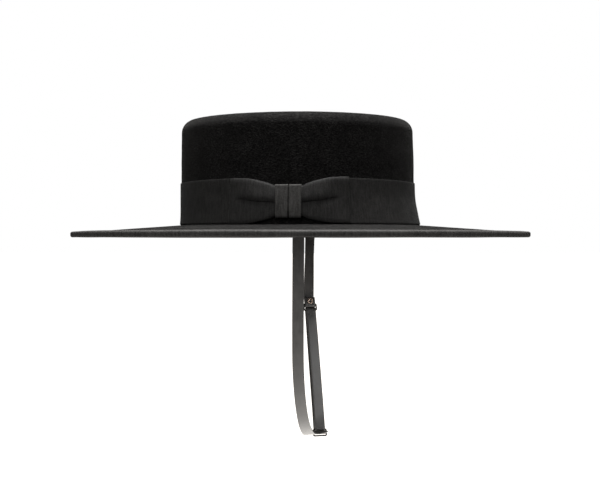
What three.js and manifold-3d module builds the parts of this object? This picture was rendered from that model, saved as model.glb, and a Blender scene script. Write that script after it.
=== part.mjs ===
// A Spanish riding hat: a flat-topped felt crown on a wide stiff brim, a ribbon band with a tailored
// bow on the wearer's left, a ribbon-bound rim and a leather chin strap with a two-ring adjuster.
// Millimetres, +Z up. The origin is the centre of the head opening, level with the brim's underside.
// The wearer faces -X, so the bow and the near leg of the strap are on the -Y side.

import * as THREE from 'three';
import { mergeVertices } from 'three/addons/utils/BufferGeometryUtils.js';
import Module from 'manifold-3d';

const wasm = await Module();
wasm.setup();

// Felt crown and brim
const crownLength = 219;
const crownWidth = 183;
const crownHeight = 96.9;
const crownArch = 1.6;
const crownLean = 6.4;
const crownEdgeRadius = 11;
const crownDome = 1.2;
const crownWall = 2.5;
const brimWidth = 99.1;
const brimDrop = 7;
const brimThickness = 3;
const junctionFillet = 0.8;
const openingFillet = 3.5;

// Ribbons
const clearance = 0.3;
const ribbonThickness = 0.6;
const bindingThickness = 0.8;
const bindingLap = 8.5;
const bandWidth = 37.6;
const bandGather = 0.9;

// Bow
const bowOffset = -4.1;
const bowReach = 53.6;
const bowHeight = 37.6;
const bowDepth = 5;
const bowPleat = 0.8;
const pleatEnd = 0.85;
const pleatFade = 0.6;
const knotWidth = 22.2;
const knotHeight = 27.4;
const knotDrop = 1;
const knotCornerRadius = 1.3;
const loopSetback = 2;

// Chin strap
const strapWidth = 10;
const strapThickness = 1.4;
const strapTail = 25;
const strapSeat = 0.6;
const strapDrop = 193.9;
const strapOffset = 3.9;
const farLegOffset = 0.9;
const strapSway = 12.6;
const strapTurn = 30;
const slideEntryTurn = -72;
const slideEntryRun = 2.5;

// Strap hardware
const wireDiameter = 1.5;
const wireChamfer = 0.3;
const ringHeight = 7.6;
const ringCornerRadius = 1.7;
const ringSideClearance = 0.5;
const ringSpacing = 123;
const ladderTilt = 17;
const ladderTurn = 18;
const ladderTwist = 18;
const slideAcross = 42;
const tabLength = 6.5;
const foldDrop = 0.8;
const tailTabLength = 9;
const eyeletRise = 2.8;
const eyeletFlangeRadius = 2.9;
const eyeletBarrelRadius = 1.3;
const eyeletHoleRadius = 0.9;
const eyeletFlangeThickness = 0.5;

// Facets
const turns = 64;
const cornerSteps = 4;
const domeSteps = 2;
const loopSteps = 22;
const knotSideSteps = 4;
const nearLegSteps = 44;
const farLegSteps = 20;
const layerSteps = 12;
const entrySteps = 4;
const wrapSteps = 8;
const eyeletTurns = 14;
const levelSpacing = 1;

// How far the wall is drawn in from the base outline: height is a share of crownHeight, and front,
// back and side are shares of crownLean. The middle of each side stands higher than the ends by
// arch, a share of crownArch.
const crownRows = [
  { height: 0.00, front: 0.00, back: 0.00, side: 0.00, arch: 0.00 },
  { height: 0.05, front: 0.06, back: 0.17, side: 0.10, arch: 0.20 },
  { height: 0.10, front: 0.09, back: 0.33, side: 0.19, arch: 0.40 },
  { height: 0.24, front: 0.09, back: 0.72, side: 0.38, arch: 0.85 },
  { height: 0.41, front: 0.09, back: 0.83, side: 0.44, arch: 1.00 },
  { height: 0.63, front: 0.10, back: 0.86, side: 0.46, arch: 0.90 },
  { height: 0.88, front: 0.14, back: 1.00, side: 0.56, arch: 0.65 },
];

// One bow loop from above: out is a share of bowReach and depth of bowDepth. It runs out along the
// band, turns at the fold and comes back in front.
const loopRows = [
  { out: 0.00, depth: 0.31 },
  { out: 0.20, depth: 0.31 },
  { out: 0.45, depth: 0.15 },
  { out: 0.80, depth: 0.13 },
  { out: 0.975, depth: 0.15 },
  { out: 1.00, depth: 0.27 },
  { out: 0.975, depth: 0.40 },
  { out: 0.80, depth: 0.53 },
  { out: 0.52, depth: 0.74 },
  { out: 0.34, depth: 0.68 },
  { out: 0.22, depth: 0.56 },
  { out: 0.00, depth: 0.55 },
];

// A loop's height at each distance out: 0 is the knot's height and 1 the bow's, and it is gathered
// to less inside the knot.
const flareRows = [
  { out: 0.00, flare: -0.42 },
  { out: 0.17, flare: -0.42 },
  { out: 0.27, flare: 0.02 },
  { out: 0.40, flare: 0.40 },
  { out: 0.62, flare: 0.86 },
  { out: 0.82, flare: 1.00 },
  { out: 1.00, flare: 1.00 },
];

// The pleat across a loop's front: up is a share of its height and lift a share of bowPleat.
const pleatRows = [
  { up: 0.00, lift: 0.00 },
  { up: 0.26, lift: 0.10 },
  { up: 0.48, lift: -0.45 },
  { up: 0.51, lift: 0.05 },
  { up: 0.54, lift: 0.75 },
  { up: 0.76, lift: 0.40 },
  { up: 1.00, lift: 0.00 },
];

// The two pleated bands of the knot: across is a share of knotWidth and lift a share of bowPleat.
const knotRows = [
  { across: -0.50, lift: -0.25 },
  { across: -0.44, lift: 0.00 },
  { across: -0.25, lift: 0.15 },
  { across: -0.06, lift: 0.00 },
  { across: 0.00, lift: -0.90 },
  { across: 0.06, lift: 0.00 },
  { across: 0.25, lift: 0.15 },
  { across: 0.44, lift: 0.00 },
  { across: 0.50, lift: -0.25 },
];

// The two loops: side is the direction from the knot, and rise is a share of bowHeight.
const loopSides = [
  { name: 'bow_loop_left', side: -1, rise: 0.000 },
  { name: 'bow_loop_right', side: 1, rise: 0.022 },
];

// The near leg as it hangs: across is a share of half the strap's span, drop of strapDrop, sway of
// strapSway and turn of strapTurn.
const nearLegRows = [
  { across: -1.000, drop: 0.000, sway: 0.00, turn: 0.0 },
  { across: -0.985, drop: 0.155, sway: -0.02, turn: 0.0 },
  { across: -0.945, drop: 0.310, sway: -0.05, turn: 0.0 },
  { across: -0.875, drop: 0.475, sway: -0.09, turn: 0.1 },
  { across: -0.773, drop: 0.630, sway: -0.11, turn: 0.5 },
  { across: -0.625, drop: 0.775, sway: -0.03, turn: 0.8 },
  { across: -0.420, drop: 0.889, sway: 0.13, turn: 1.0 },
  { across: -0.165, drop: 0.954, sway: 0.33, turn: 1.1 },
  { across: 0.120, drop: 0.981, sway: 0.57, turn: 0.9 },
];

// The far leg above its ring, from the crown down to it: span is a share of the way down.
const farLegRows = [
  { span: 0.00, bow: 0.0, turn: 0.2 },
  { span: 0.15, bow: 0.5, turn: 1.1 },
  { span: 0.40, bow: 1.0, turn: 1.2 },
  { span: 0.75, bow: 0.7, turn: 0.8 },
];
const farLegBow = -2.6;

// Sizes that follow from those above
const crownRadius = crownWidth / 2;
const stretch = crownLength / 2 - crownRadius;
const crownBase = brimThickness;
const crownTop = crownBase + crownHeight;
const flatRadius = crownRadius - crownEdgeRadius;
const rimRadius = crownRadius + brimWidth;
const feltRimRadius = rimRadius - bindingThickness - clearance;
const rimHalfThickness = brimThickness / 2;
const lapRadius = rimRadius - bindingLap;
const bandBottom = crownBase + junctionFillet - clearance / 3;
const bandMiddle = bandBottom + bandWidth / 2;
const bandInner = crownRadius + clearance;
const bandOuter = bandInner + ribbonThickness;
const wireRadius = wireDiameter / 2;
const ringWidth = strapWidth + 2 * (ringSideClearance + wireDiameter);
const barSpacing = ringHeight - wireDiameter;
const wrapRadius = wireRadius + clearance + strapThickness / 2;
const anchorAcross = crownRadius - crownWall - strapSeat - strapThickness / 2;

const degrees = (angle) => THREE.MathUtils.degToRad(angle);

// Linear look-up of one column of a table at a value of its key column
function readRow(rows, key, value, column) {
  const last = rows.length - 1;
  let index = 0;
  while (index < last - 1 && rows[index + 1][key] < value) {
    index += 1;
  }
  const low = rows[index];
  const high = rows[index + 1];
  const share = THREE.MathUtils.clamp((value - low[key]) / (high[key] - low[key]), 0, 1);
  return THREE.MathUtils.lerp(low[column], high[column], share);
}

function brimTopAt(radius) {
  return crownBase - (brimDrop * (radius - crownRadius)) / brimWidth;
}

function drawnIn(z, column) {
  return crownLean * readRow(crownRows, 'height', (z - crownBase) / crownHeight, column);
}

function archAt(z) {
  return crownArch * readRow(crownRows, 'height', (z - crownBase) / crownHeight, 'arch');
}

// Turns round shapes into the hat's oval: the ends move out by the stretch, the wall is drawn in
// with height, and the sides arch. Wall thicknesses and clearances stay as they are.
function ovalise(geometry) {
  const place = geometry.attributes.position;
  for (let i = 0; i < place.count; i += 1) {
    const x = place.getX(i);
    const y = place.getY(i);
    const z = place.getZ(i);
    const radius = Math.hypot(x, y);
    if (radius > 0) {
      const reach = Math.min(1, radius / flatRadius) / radius;
      const end = x < 0 ? 'front' : 'back';
      place.setX(i, x + x * reach * (stretch - drawnIn(z, end)));
      place.setY(i, y - y * reach * drawnIn(z, 'side'));
      place.setZ(i, z + archAt(z) * Math.max(0, 1 - (x / crownRadius) ** 2));
    } else {
      place.setZ(i, z + archAt(z));
    }
  }
  return geometry;
}

// Turns a closed outline of radius and height
function turnOutline(outline) {
  const geometry = new THREE.LatheGeometry([...outline, outline[0]], turns);
  geometry.rotateX(Math.PI / 2);
  return geometry;
}

function arc(centreRadius, centreHeight, radius, from, to, steps = cornerSteps) {
  const points = [];
  for (let i = 0; i <= steps; i += 1) {
    const angle = degrees(THREE.MathUtils.lerp(from, to, i / steps));
    const across = centreRadius + radius * Math.cos(angle);
    points.push(new THREE.Vector2(across, centreHeight + radius * Math.sin(angle)));
  }
  return points;
}

// The crown's flat top, a shallow dome down to its rounded edge
function domePoints(height) {
  const points = [];
  for (let i = 0; i < domeSteps; i += 1) {
    const share = i / domeSteps;
    points.push(new THREE.Vector2(flatRadius * share, height - crownDome * share * share));
  }
  return points;
}

// Heights of the wall's sections between two levels, from the top down
function wallHeights(low, high) {
  const levels = crownRows.map((row) => crownBase + row.height * crownHeight);
  const inside = levels.filter((level) => level > low + levelSpacing && level < high - levelSpacing);
  return inside.reverse();
}

function feltGeometry() {
  const edgeHeight = crownTop - crownDome - crownEdgeRadius;
  const innerRadius = crownRadius - crownWall;
  const innerEdgeRadius = crownEdgeRadius - crownWall;
  const rimArcRadius = feltRimRadius - rimHalfThickness;
  const rimCentre = brimTopAt(rimArcRadius) - rimHalfThickness;
  const outline = [
    ...domePoints(crownTop),
    ...arc(flatRadius, edgeHeight, crownEdgeRadius, 90, 0),
    ...wallHeights(crownBase + junctionFillet, edgeHeight).map((z) => new THREE.Vector2(crownRadius, z)),
    ...arc(crownRadius + junctionFillet, crownBase + junctionFillet, junctionFillet, 180, 265, 2),
    new THREE.Vector2(lapRadius, brimTopAt(lapRadius)),
    ...arc(rimArcRadius, rimCentre, rimHalfThickness, 90, -90, 4),
    ...arc(innerRadius + openingFillet, openingFillet, openingFillet, 270, 180, 2),
    ...wallHeights(openingFillet, edgeHeight).reverse().map((z) => new THREE.Vector2(innerRadius, z)),
    ...arc(flatRadius, edgeHeight, innerEdgeRadius, 0, 90),
    ...domePoints(crownTop - crownWall).reverse(),
  ];
  return ovalise(turnOutline(outline.reverse()));
}

// The ribbon that folds round the rim, with a lap on each face
function bindingGeometry() {
  const arcRadius = feltRimRadius - rimHalfThickness;
  const rimCentre = brimTopAt(arcRadius) - rimHalfThickness;
  const inner = rimHalfThickness + clearance;
  const outer = inner + bindingThickness;
  const slope = brimTopAt(lapRadius) - brimTopAt(arcRadius);
  const outline = [
    new THREE.Vector2(lapRadius, rimCentre + outer + slope),
    ...arc(arcRadius, rimCentre, outer, 90, -90, 5),
    new THREE.Vector2(lapRadius, rimCentre - outer + slope),
    new THREE.Vector2(lapRadius, rimCentre - inner + slope),
    ...arc(arcRadius, rimCentre, inner, -90, 90, 4),
    new THREE.Vector2(lapRadius, rimCentre + inner + slope),
  ];
  return ovalise(turnOutline(outline.reverse()));
}

// Height of a ribbon of the bow at a share of bowReach from the knot
function flaredHeight(width, share) {
  return knotHeight + (width - knotHeight) * readRow(flareRows, 'out', share, 'flare');
}

// The ribbon round the crown, gathered behind the knot a little more than the loops are
function bandGeometry() {
  const top = bandBottom + bandWidth;
  const heights = [top, ...wallHeights(bandBottom, top), bandBottom];
  const outline = [
    ...heights.map((z) => new THREE.Vector2(bandOuter, z)),
    ...heights.reverse().map((z) => new THREE.Vector2(bandInner, z)),
  ];
  const geometry = turnOutline(outline.reverse());
  const place = geometry.attributes.position;
  for (let i = 0; i < place.count; i += 1) {
    const around = Math.atan2(place.getX(i), -place.getY(i)) * (bandOuter + stretch);
    const share = (bandGather * Math.abs(around - bowOffset)) / bowReach;
    const height = flaredHeight(bandWidth, share);
    place.setZ(i, bandMiddle + ((place.getZ(i) - bandMiddle) * height) / bandWidth);
  }
  return ovalise(geometry);
}

// Lays a piece on the band: x is the way round from the -Y side, y the height and z the distance
// out from the band's face.
function layOnBand(geometry) {
  const place = geometry.attributes.position;
  for (let i = 0; i < place.count; i += 1) {
    const angle = place.getX(i) / (bandOuter + stretch) - Math.PI / 2;
    const radius = bandOuter + place.getZ(i);
    place.setXYZ(i, radius * Math.cos(angle), radius * Math.sin(angle), place.getY(i));
  }
  return ovalise(geometry);
}

// A hollow ribbon loop. Its pleat dies out over pleatFade and has gone at pleatEnd, shares of the reach.
function loopGeometry(side, rise) {
  const plan = loopRows.map((row) => {
    const out = loopSetback + row.out * (bowReach - loopSetback - ribbonThickness / 2);
    return new THREE.Vector2(out, row.depth * bowDepth);
  });
  const curve = new THREE.SplineCurve(plan);
  const geometry = new THREE.BoxGeometry(1, 1, ribbonThickness, loopSteps, pleatRows.length - 1, 1);
  const place = geometry.attributes.position;
  for (let i = 0; i < place.count; i += 1) {
    const along = place.getX(i) + 0.5;
    const row = Math.round((place.getY(i) + 0.5) * (pleatRows.length - 1));
    const centre = curve.getPoint(along);
    const tangent = curve.getTangent(along);
    const share = centre.x / bowReach;
    const height = flaredHeight(bowHeight, share);
    const fade = along > 0.5 ? THREE.MathUtils.clamp((pleatEnd - share) / pleatFade, 0, 1) : 0;
    const lift = pleatRows[row].lift * bowPleat * fade;
    const out = centre.x - tangent.y * place.getZ(i);
    const depth = centre.y + tangent.x * place.getZ(i) + lift;
    const middle = bandMiddle - knotDrop * (1 - share) + rise * bowHeight * share;
    const z = middle + height * (pleatRows[row].up - 0.5);
    place.setXYZ(i, bowOffset + side * out, z, depth);
  }
  if (side < 0) {
    geometry.index.array.reverse();
  }
  return layOnBand(geometry);
}

// A rounded rectangle with its two upright sides cut into steps, so that they can follow the crown
function roundedRectangle(path, width, height, radius, sideSteps = 1) {
  const x = width / 2;
  const y = height / 2;
  const side = 2 * (y - radius);
  path.moveTo(x, -y + radius);
  for (let i = 1; i <= sideSteps; i += 1) {
    path.lineTo(x, -y + radius + (side * i) / sideSteps);
  }
  path.absarc(x - radius, y - radius, radius, 0, Math.PI / 2, false);
  path.lineTo(-x + radius, y);
  path.absarc(-x + radius, y - radius, radius, Math.PI / 2, Math.PI, false);
  for (let i = 1; i <= sideSteps; i += 1) {
    path.lineTo(-x, y - radius - (side * i) / sideSteps);
  }
  path.absarc(-x + radius, -y + radius, radius, Math.PI, Math.PI * 1.5, false);
  path.lineTo(x - radius, -y);
  path.absarc(x - radius, -y + radius, radius, Math.PI * 1.5, Math.PI * 2, false);
  return path;
}

// The ribbon wrapped round the middle of the bow, with a pleat down its centre
function knotGeometry() {
  const depth = bowDepth;
  const shape = roundedRectangle(new THREE.Shape(), depth, knotHeight, knotCornerRadius, knotSideSteps);
  const wall = 2 * ribbonThickness;
  const holeRadius = knotCornerRadius - ribbonThickness;
  const inner = knotHeight - wall;
  const hole = roundedRectangle(new THREE.Path(), depth - wall, inner, holeRadius, knotSideSteps);
  shape.holes.push(hole);
  const steps = knotRows.length - 1;
  const geometry = new THREE.ExtrudeGeometry(shape, {
    depth: steps, steps, bevelEnabled: false, curveSegments: 1,
  });
  const place = geometry.attributes.position;
  for (let i = 0; i < place.count; i += 1) {
    const row = knotRows[Math.round(place.getZ(i))];
    const front = Math.max(0, -place.getX(i) / (depth / 2));
    const out = clearance + depth / 2 - place.getX(i) + front * row.lift * bowPleat;
    const z = bandMiddle - knotDrop + place.getY(i);
    place.setXYZ(i, bowOffset + row.across * knotWidth, z, out);
  }
  return layOnBand(geometry);
}

// The frame of the adjuster: up runs from the slide to the ring, across is the strap's width and
// back points away from the near leg.
const ladderAcross = new THREE.Vector3(Math.cos(degrees(ladderTurn)), Math.sin(degrees(ladderTurn)), 0);
const ladderUp = new THREE.Vector3(-ladderAcross.y, ladderAcross.x, 0)
  .multiplyScalar(Math.sin(degrees(ladderTilt)))
  .setZ(Math.cos(degrees(ladderTilt)));
const ladderBack = new THREE.Vector3().crossVectors(ladderUp, ladderAcross);
const slideCentre = new THREE.Vector3(strapOffset + strapSway, slideAcross, -strapDrop);
const ringCentre = slideCentre.clone().addScaledVector(ladderUp, ringSpacing);

// A station is a point of the strap's centre line with the direction of its width. This one is at
// a height on the adjuster and a distance behind it, where the layers twist between the rings.
function ladderStation(up, back) {
  const run = ringSpacing - 2 * tailTabLength;
  const share = THREE.MathUtils.clamp((up - tailTabLength) / run, 0, 1);
  const twist = degrees(ladderTwist) * 4 * share * (1 - share);
  const across = ladderAcross.clone().multiplyScalar(Math.cos(twist));
  across.addScaledVector(ladderBack, Math.sin(twist));
  const point = slideCentre.clone().addScaledVector(ladderUp, up);
  point.addScaledVector(ladderBack, back * Math.cos(twist));
  point.addScaledVector(ladderAcross, -back * Math.sin(twist));
  return { point, across };
}

// A station of a hanging leg, with its turn as a share of strapTurn
function hangingStation(point, turn) {
  const angle = degrees(strapTurn * turn);
  return { point, across: new THREE.Vector3(Math.cos(angle), Math.sin(angle), 0) };
}

// Stations round a bar at a height on the adjuster
function wrap(up, radius, from, to, steps) {
  const stations = [];
  for (let i = 0; i <= steps; i += 1) {
    const angle = degrees(THREE.MathUtils.lerp(from, to, i / steps));
    stations.push(ladderStation(up + radius * Math.sin(angle), radius * Math.cos(angle)));
  }
  return stations;
}

// The end of a strap inside the crown, flat against the wall
function tailStations(side) {
  const shares = [1, 2 / 3, 1 / 3, 0];
  return shares.map((share) => {
    const z = THREE.MathUtils.lerp(openingFillet, strapTail, share);
    const y = side * (anchorAcross - drawnIn(z, 'side'));
    return hangingStation(new THREE.Vector3(strapOffset, y, z), 0);
  });
}

// Smooths a chosen route into even steps, turning as it goes
function smooth(stations, steps) {
  const curve = new THREE.CatmullRomCurve3(stations.map((each) => each.point), false, 'centripetal');
  const result = [];
  for (let i = 0; i <= steps; i += 1) {
    const share = (i / steps) * (stations.length - 1);
    const index = Math.min(Math.floor(share), stations.length - 2);
    const across = stations[index].across.clone().lerp(stations[index + 1].across, share - index);
    result.push({ point: curve.getPoint(i / steps), across });
  }
  return result;
}

// A flat strap along its stations
function strapGeometry(stations) {
  const steps = stations.length - 1;
  const geometry = new THREE.BoxGeometry(strapWidth, strapThickness, steps, 1, 1, steps);
  const place = geometry.attributes.position;
  for (let i = 0; i < place.count; i += 1) {
    const index = Math.round(place.getZ(i) + steps / 2);
    const before = stations[Math.max(index - 1, 0)].point;
    const after = stations[Math.min(index + 1, steps)].point;
    const along = new THREE.Vector3().subVectors(after, before).normalize();
    const across = stations[index].across.clone();
    across.addScaledVector(along, -across.dot(along)).normalize();
    const out = new THREE.Vector3().crossVectors(along, across);
    const point = stations[index].point.clone();
    point.addScaledVector(across, place.getX(i)).addScaledVector(out, place.getY(i));
    place.setXYZ(i, point.x, point.y, point.z);
  }
  return geometry;
}

// Crown, near leg, through the slide, up behind, round the ring's lower bar, down in front, and
// folded round the slide's upper bar. The leg comes in slideEntryRun pass radii in front of the bar.
function longStrapGeometry() {
  const slideBar = barSpacing / 2;
  const ringBar = ringSpacing - barSpacing / 2;
  const passRadius = wrapRadius + strapThickness + 3 * clearance;
  const hanging = nearLegRows.map((row) => hangingStation(new THREE.Vector3(
    strapOffset + row.sway * strapSway,
    row.across * anchorAcross,
    -row.drop * strapDrop,
  ), row.turn));
  const nearLeg = smooth([
    ...tailStations(-1),
    ...hanging,
    ladderStation(slideBar - passRadius + clearance, -slideEntryRun * passRadius),
    ladderStation(slideBar - passRadius, 0),
  ], nearLegSteps);
  const back = smooth([
    ladderStation(slideBar + tailTabLength / 2, passRadius),
    ladderStation(slideBar + tailTabLength * 2, passRadius - strapThickness),
    ladderStation(ringBar - tailTabLength * 2, wrapRadius),
    ladderStation(ringBar - tailTabLength / 2, wrapRadius),
  ], layerSteps);
  const front = smooth([
    ladderStation(ringBar - tailTabLength / 2, -wrapRadius),
    ladderStation(ringBar - tailTabLength * 2, -wrapRadius),
    ladderStation(slideBar + tailTabLength * 2, -wrapRadius),
    ladderStation(slideBar + tailTabLength / 2, -wrapRadius),
  ], layerSteps);
  return strapGeometry([
    ...nearLeg,
    ...wrap(slideBar, passRadius, slideEntryTurn, 0, entrySteps),
    ...back,
    ...wrap(ringBar, wrapRadius, 0, 180, wrapSteps),
    ...front,
    ...wrap(slideBar, wrapRadius, 180, 360, wrapSteps),
    ladderStation(slideBar + tailTabLength, wrapRadius),
  ]);
}

// Crown, far leg, and folded round the ring's upper bar with its end in front. The fold is loose
// and hangs foldDrop below the bar.
function shortStrapGeometry() {
  const bar = ringSpacing + barSpacing / 2;
  const foot = ladderStation(bar + tabLength + strapThickness, wrapRadius);
  const top = new THREE.Vector3(strapOffset + farLegOffset, anchorAcross, 0);
  const hanging = farLegRows.map((row) => {
    const point = top.clone().lerp(foot.point, row.span);
    point.y += row.bow * farLegBow;
    return hangingStation(point, row.turn);
  });
  const farLeg = smooth([...tailStations(1), ...hanging, foot], farLegSteps);
  return strapGeometry([
    ...farLeg,
    ...wrap(bar - foldDrop, wrapRadius, 0, -180, wrapSteps),
    ladderStation(bar + tabLength, -wrapRadius),
  ]);
}

function toManifold(geometry) {
  const bare = geometry.clone();
  bare.deleteAttribute('normal');
  bare.deleteAttribute('uv');
  const merged = mergeVertices(bare, 1e-4);
  return new wasm.Manifold(new wasm.Mesh({
    numProp: 3,
    vertProperties: new Float32Array(merged.attributes.position.array),
    triVerts: new Uint32Array(merged.index.array),
  }));
}

function fromManifold(solid) {
  const mesh = solid.getMesh();
  const geometry = new THREE.BufferGeometry();
  geometry.setAttribute('position', new THREE.BufferAttribute(mesh.vertProperties, 3));
  geometry.setIndex(new THREE.BufferAttribute(mesh.triVerts, 1));
  return geometry;
}

const eyeletCentre = ringCentre.clone().addScaledVector(ladderUp, barSpacing / 2 + eyeletRise);

// The strap's two layers are punched for the eyelet's barrel
function punchedStrapGeometry() {
  const punch = new THREE.CylinderGeometry(
    eyeletBarrelRadius + clearance,
    eyeletBarrelRadius + clearance,
    4 * (wrapRadius + strapThickness),
    eyeletTurns,
  );
  punch.applyMatrix4(ladderMatrix(eyeletCentre, 'y'));
  return fromManifold(toManifold(shortStrapGeometry()).subtract(toManifold(punch)));
}

// A rigid placement on the ladder, with the piece's own axis 'y' or 'z' along the back direction
function ladderMatrix(centre, axis) {
  const matrix = new THREE.Matrix4();
  if (axis === 'y') {
    matrix.makeBasis(ladderAcross, ladderBack, ladderUp);
  } else {
    matrix.makeBasis(ladderAcross, ladderUp, ladderBack.clone().negate());
  }
  return matrix.setPosition(centre);
}

// A wire ring, flat in its own XY plane, with wireChamfer of its diameter cut off each corner
function ringGeometry() {
  const bevel = wireDiameter * wireChamfer;
  const shape = roundedRectangle(new THREE.Shape(), ringWidth, ringHeight, ringCornerRadius);
  const inside = roundedRectangle(
    new THREE.Path(),
    ringWidth - 2 * wireDiameter,
    ringHeight - 2 * wireDiameter,
    ringCornerRadius - wireRadius,
  );
  shape.holes.push(inside);
  const geometry = new THREE.ExtrudeGeometry(shape, {
    depth: wireDiameter - 2 * bevel,
    bevelThickness: bevel,
    bevelSize: bevel,
    bevelOffset: -bevel,
    bevelSegments: 1,
    curveSegments: 2,
  });
  geometry.translate(0, 0, bevel - wireRadius);
  return geometry;
}

// A pressed eyelet: two flanges and a barrel round a through hole
function eyeletGeometry() {
  const face = wrapRadius + strapThickness / 2 + clearance;
  const end = face + eyeletFlangeThickness;
  const roll = eyeletFlangeRadius - eyeletFlangeThickness / 2;
  const half = [
    new THREE.Vector2(eyeletHoleRadius, end - eyeletFlangeThickness / 2),
    new THREE.Vector2(eyeletBarrelRadius, end),
    new THREE.Vector2(roll, end),
    new THREE.Vector2(eyeletFlangeRadius, end - eyeletFlangeThickness / 2),
    new THREE.Vector2(roll, face),
    new THREE.Vector2(eyeletBarrelRadius, face),
  ];
  const mirrored = half.map((point) => new THREE.Vector2(point.x, -point.y)).reverse();
  const outline = [...half.reverse(), ...mirrored.reverse()];
  return new THREE.LatheGeometry([...outline, outline[0]], eyeletTurns);
}

const finishes = {
  felt: { color: 0x131312, roughness: 0.95, metalness: 0 },
  ribbon: { color: 0x232221, roughness: 0.8, metalness: 0 },
  leather: { color: 0x2b2a28, roughness: 0.45, metalness: 0 },
  wire: { color: 0x2e2b27, roughness: 0.3, metalness: 1 },
  eyelet: { color: 0xa58472, roughness: 0.35, metalness: 1 },
};

function addPiece(group, name, geometry, finish) {
  const material = new THREE.MeshStandardMaterial(finishes[finish]);
  const mesh = new THREE.Mesh(geometry, material);
  mesh.name = name;
  group.add(mesh);
  return mesh;
}

const hat = new THREE.Group();
addPiece(hat, 'felt_body', feltGeometry(), 'felt');
addPiece(hat, 'brim_binding', bindingGeometry(), 'ribbon');
addPiece(hat, 'hat_band', bandGeometry(), 'ribbon');
for (const loop of loopSides) {
  addPiece(hat, loop.name, loopGeometry(loop.side, loop.rise), 'ribbon');
}
addPiece(hat, 'bow_knot', knotGeometry(), 'ribbon');
addPiece(hat, 'strap_long', longStrapGeometry(), 'leather');
addPiece(hat, 'strap_short', punchedStrapGeometry(), 'leather');
const hardware = new THREE.Group();
hat.add(hardware);
const ring = addPiece(hardware, 'adjuster_ring', ringGeometry(), 'wire');
const slide = addPiece(hardware, 'adjuster_slide', ringGeometry(), 'wire');
const eyelet = addPiece(hardware, 'eyelet', eyeletGeometry(), 'eyelet');
ring.applyMatrix4(ladderMatrix(ringCentre, 'z'));
slide.applyMatrix4(ladderMatrix(slideCentre, 'z'));
eyelet.applyMatrix4(ladderMatrix(eyeletCentre, 'y'));

export default hat;
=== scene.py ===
import math

import bmesh
import bpy
from mathutils import Matrix, Vector, noise


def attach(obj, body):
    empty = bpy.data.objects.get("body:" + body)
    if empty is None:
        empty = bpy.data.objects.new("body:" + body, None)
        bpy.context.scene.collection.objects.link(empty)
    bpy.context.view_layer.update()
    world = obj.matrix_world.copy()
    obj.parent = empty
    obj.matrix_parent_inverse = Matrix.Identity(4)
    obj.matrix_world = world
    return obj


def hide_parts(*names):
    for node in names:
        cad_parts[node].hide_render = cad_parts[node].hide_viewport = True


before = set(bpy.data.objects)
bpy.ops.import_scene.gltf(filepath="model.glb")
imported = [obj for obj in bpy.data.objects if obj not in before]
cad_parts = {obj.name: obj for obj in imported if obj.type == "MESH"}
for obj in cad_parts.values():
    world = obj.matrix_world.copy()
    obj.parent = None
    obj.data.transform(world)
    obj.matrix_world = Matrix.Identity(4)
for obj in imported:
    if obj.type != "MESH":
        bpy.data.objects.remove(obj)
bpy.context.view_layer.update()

mm = 0.001

# The hat's main sizes in millimetres, as the frame has them
hat = {
    "crownHalfWidth": 91.5,
    "stretch": 18.0,
    "crownBase": 3.0,
    "crownHeight": 96.9,
    "crownLean": 6.4,
    "crownArch": 1.6,
    "crownEdge": 11.0,
    "crownDome": 1.2,
    "wall": 2.5,
    "brimWidth": 99.1,
    "brimDrop": 7.0,
    "ribbon": 0.6,
    "binding": 0.8,
    "gap": 0.3,
    "turns": 256,
}
crownTop = hat["crownBase"] + hat["crownHeight"]
flatRadius = hat["crownHalfWidth"] - hat["crownEdge"]
rimRadius = hat["crownHalfWidth"] + hat["brimWidth"]
bandFace = hat["crownHalfWidth"] + hat["gap"] + hat["ribbon"]

# The wall at each share of the height: shares of the lean at front, back and sides, then of the arch
wallRows = [
    (0.00, 0.00, 0.00, 0.00, 0.00),
    (0.05, 0.06, 0.17, 0.10, 0.20),
    (0.10, 0.09, 0.33, 0.19, 0.40),
    (0.24, 0.09, 0.72, 0.38, 0.85),
    (0.41, 0.09, 0.83, 0.44, 1.00),
    (0.63, 0.10, 0.86, 0.46, 0.90),
    (0.88, 0.14, 1.00, 0.56, 0.65),
    (1.00, 0.14, 1.00, 0.56, 0.65),
]
frontEnd, backEnd, sides, arching = 1, 2, 3, 4


# Smooth look-up of one column of a table whose first column rises
def readRows(rows, at, column):
    at = min(max(at, rows[0][0]), rows[-1][0])
    low = max(i for i in range(len(rows) - 1) if rows[i][0] <= at)

    def slope(i):
        before, after = rows[max(i - 1, 0)], rows[min(i + 1, len(rows) - 1)]
        return (after[column] - before[column]) / (after[0] - before[0])

    span = rows[low + 1][0] - rows[low][0]
    t = (at - rows[low][0]) / span
    start, end = rows[low][column], rows[low + 1][column]
    rise = slope(low) * span * (t - 2 * t**2 + t**3)
    fall = slope(low + 1) * span * (t**3 - t**2)
    return start + (end - start) * (3 * t**2 - 2 * t**3) + rise + fall


# Slow unevenness that every piece on the hat shares, so that they stay together
def handWobble(x, y, z):
    reach = max(0.0, math.hypot(x, y) - hat["crownHalfWidth"]) / hat["brimWidth"]
    return 0.35 * reach * noise.noise(Vector((x / 60, y / 60, 7.3)))


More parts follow.
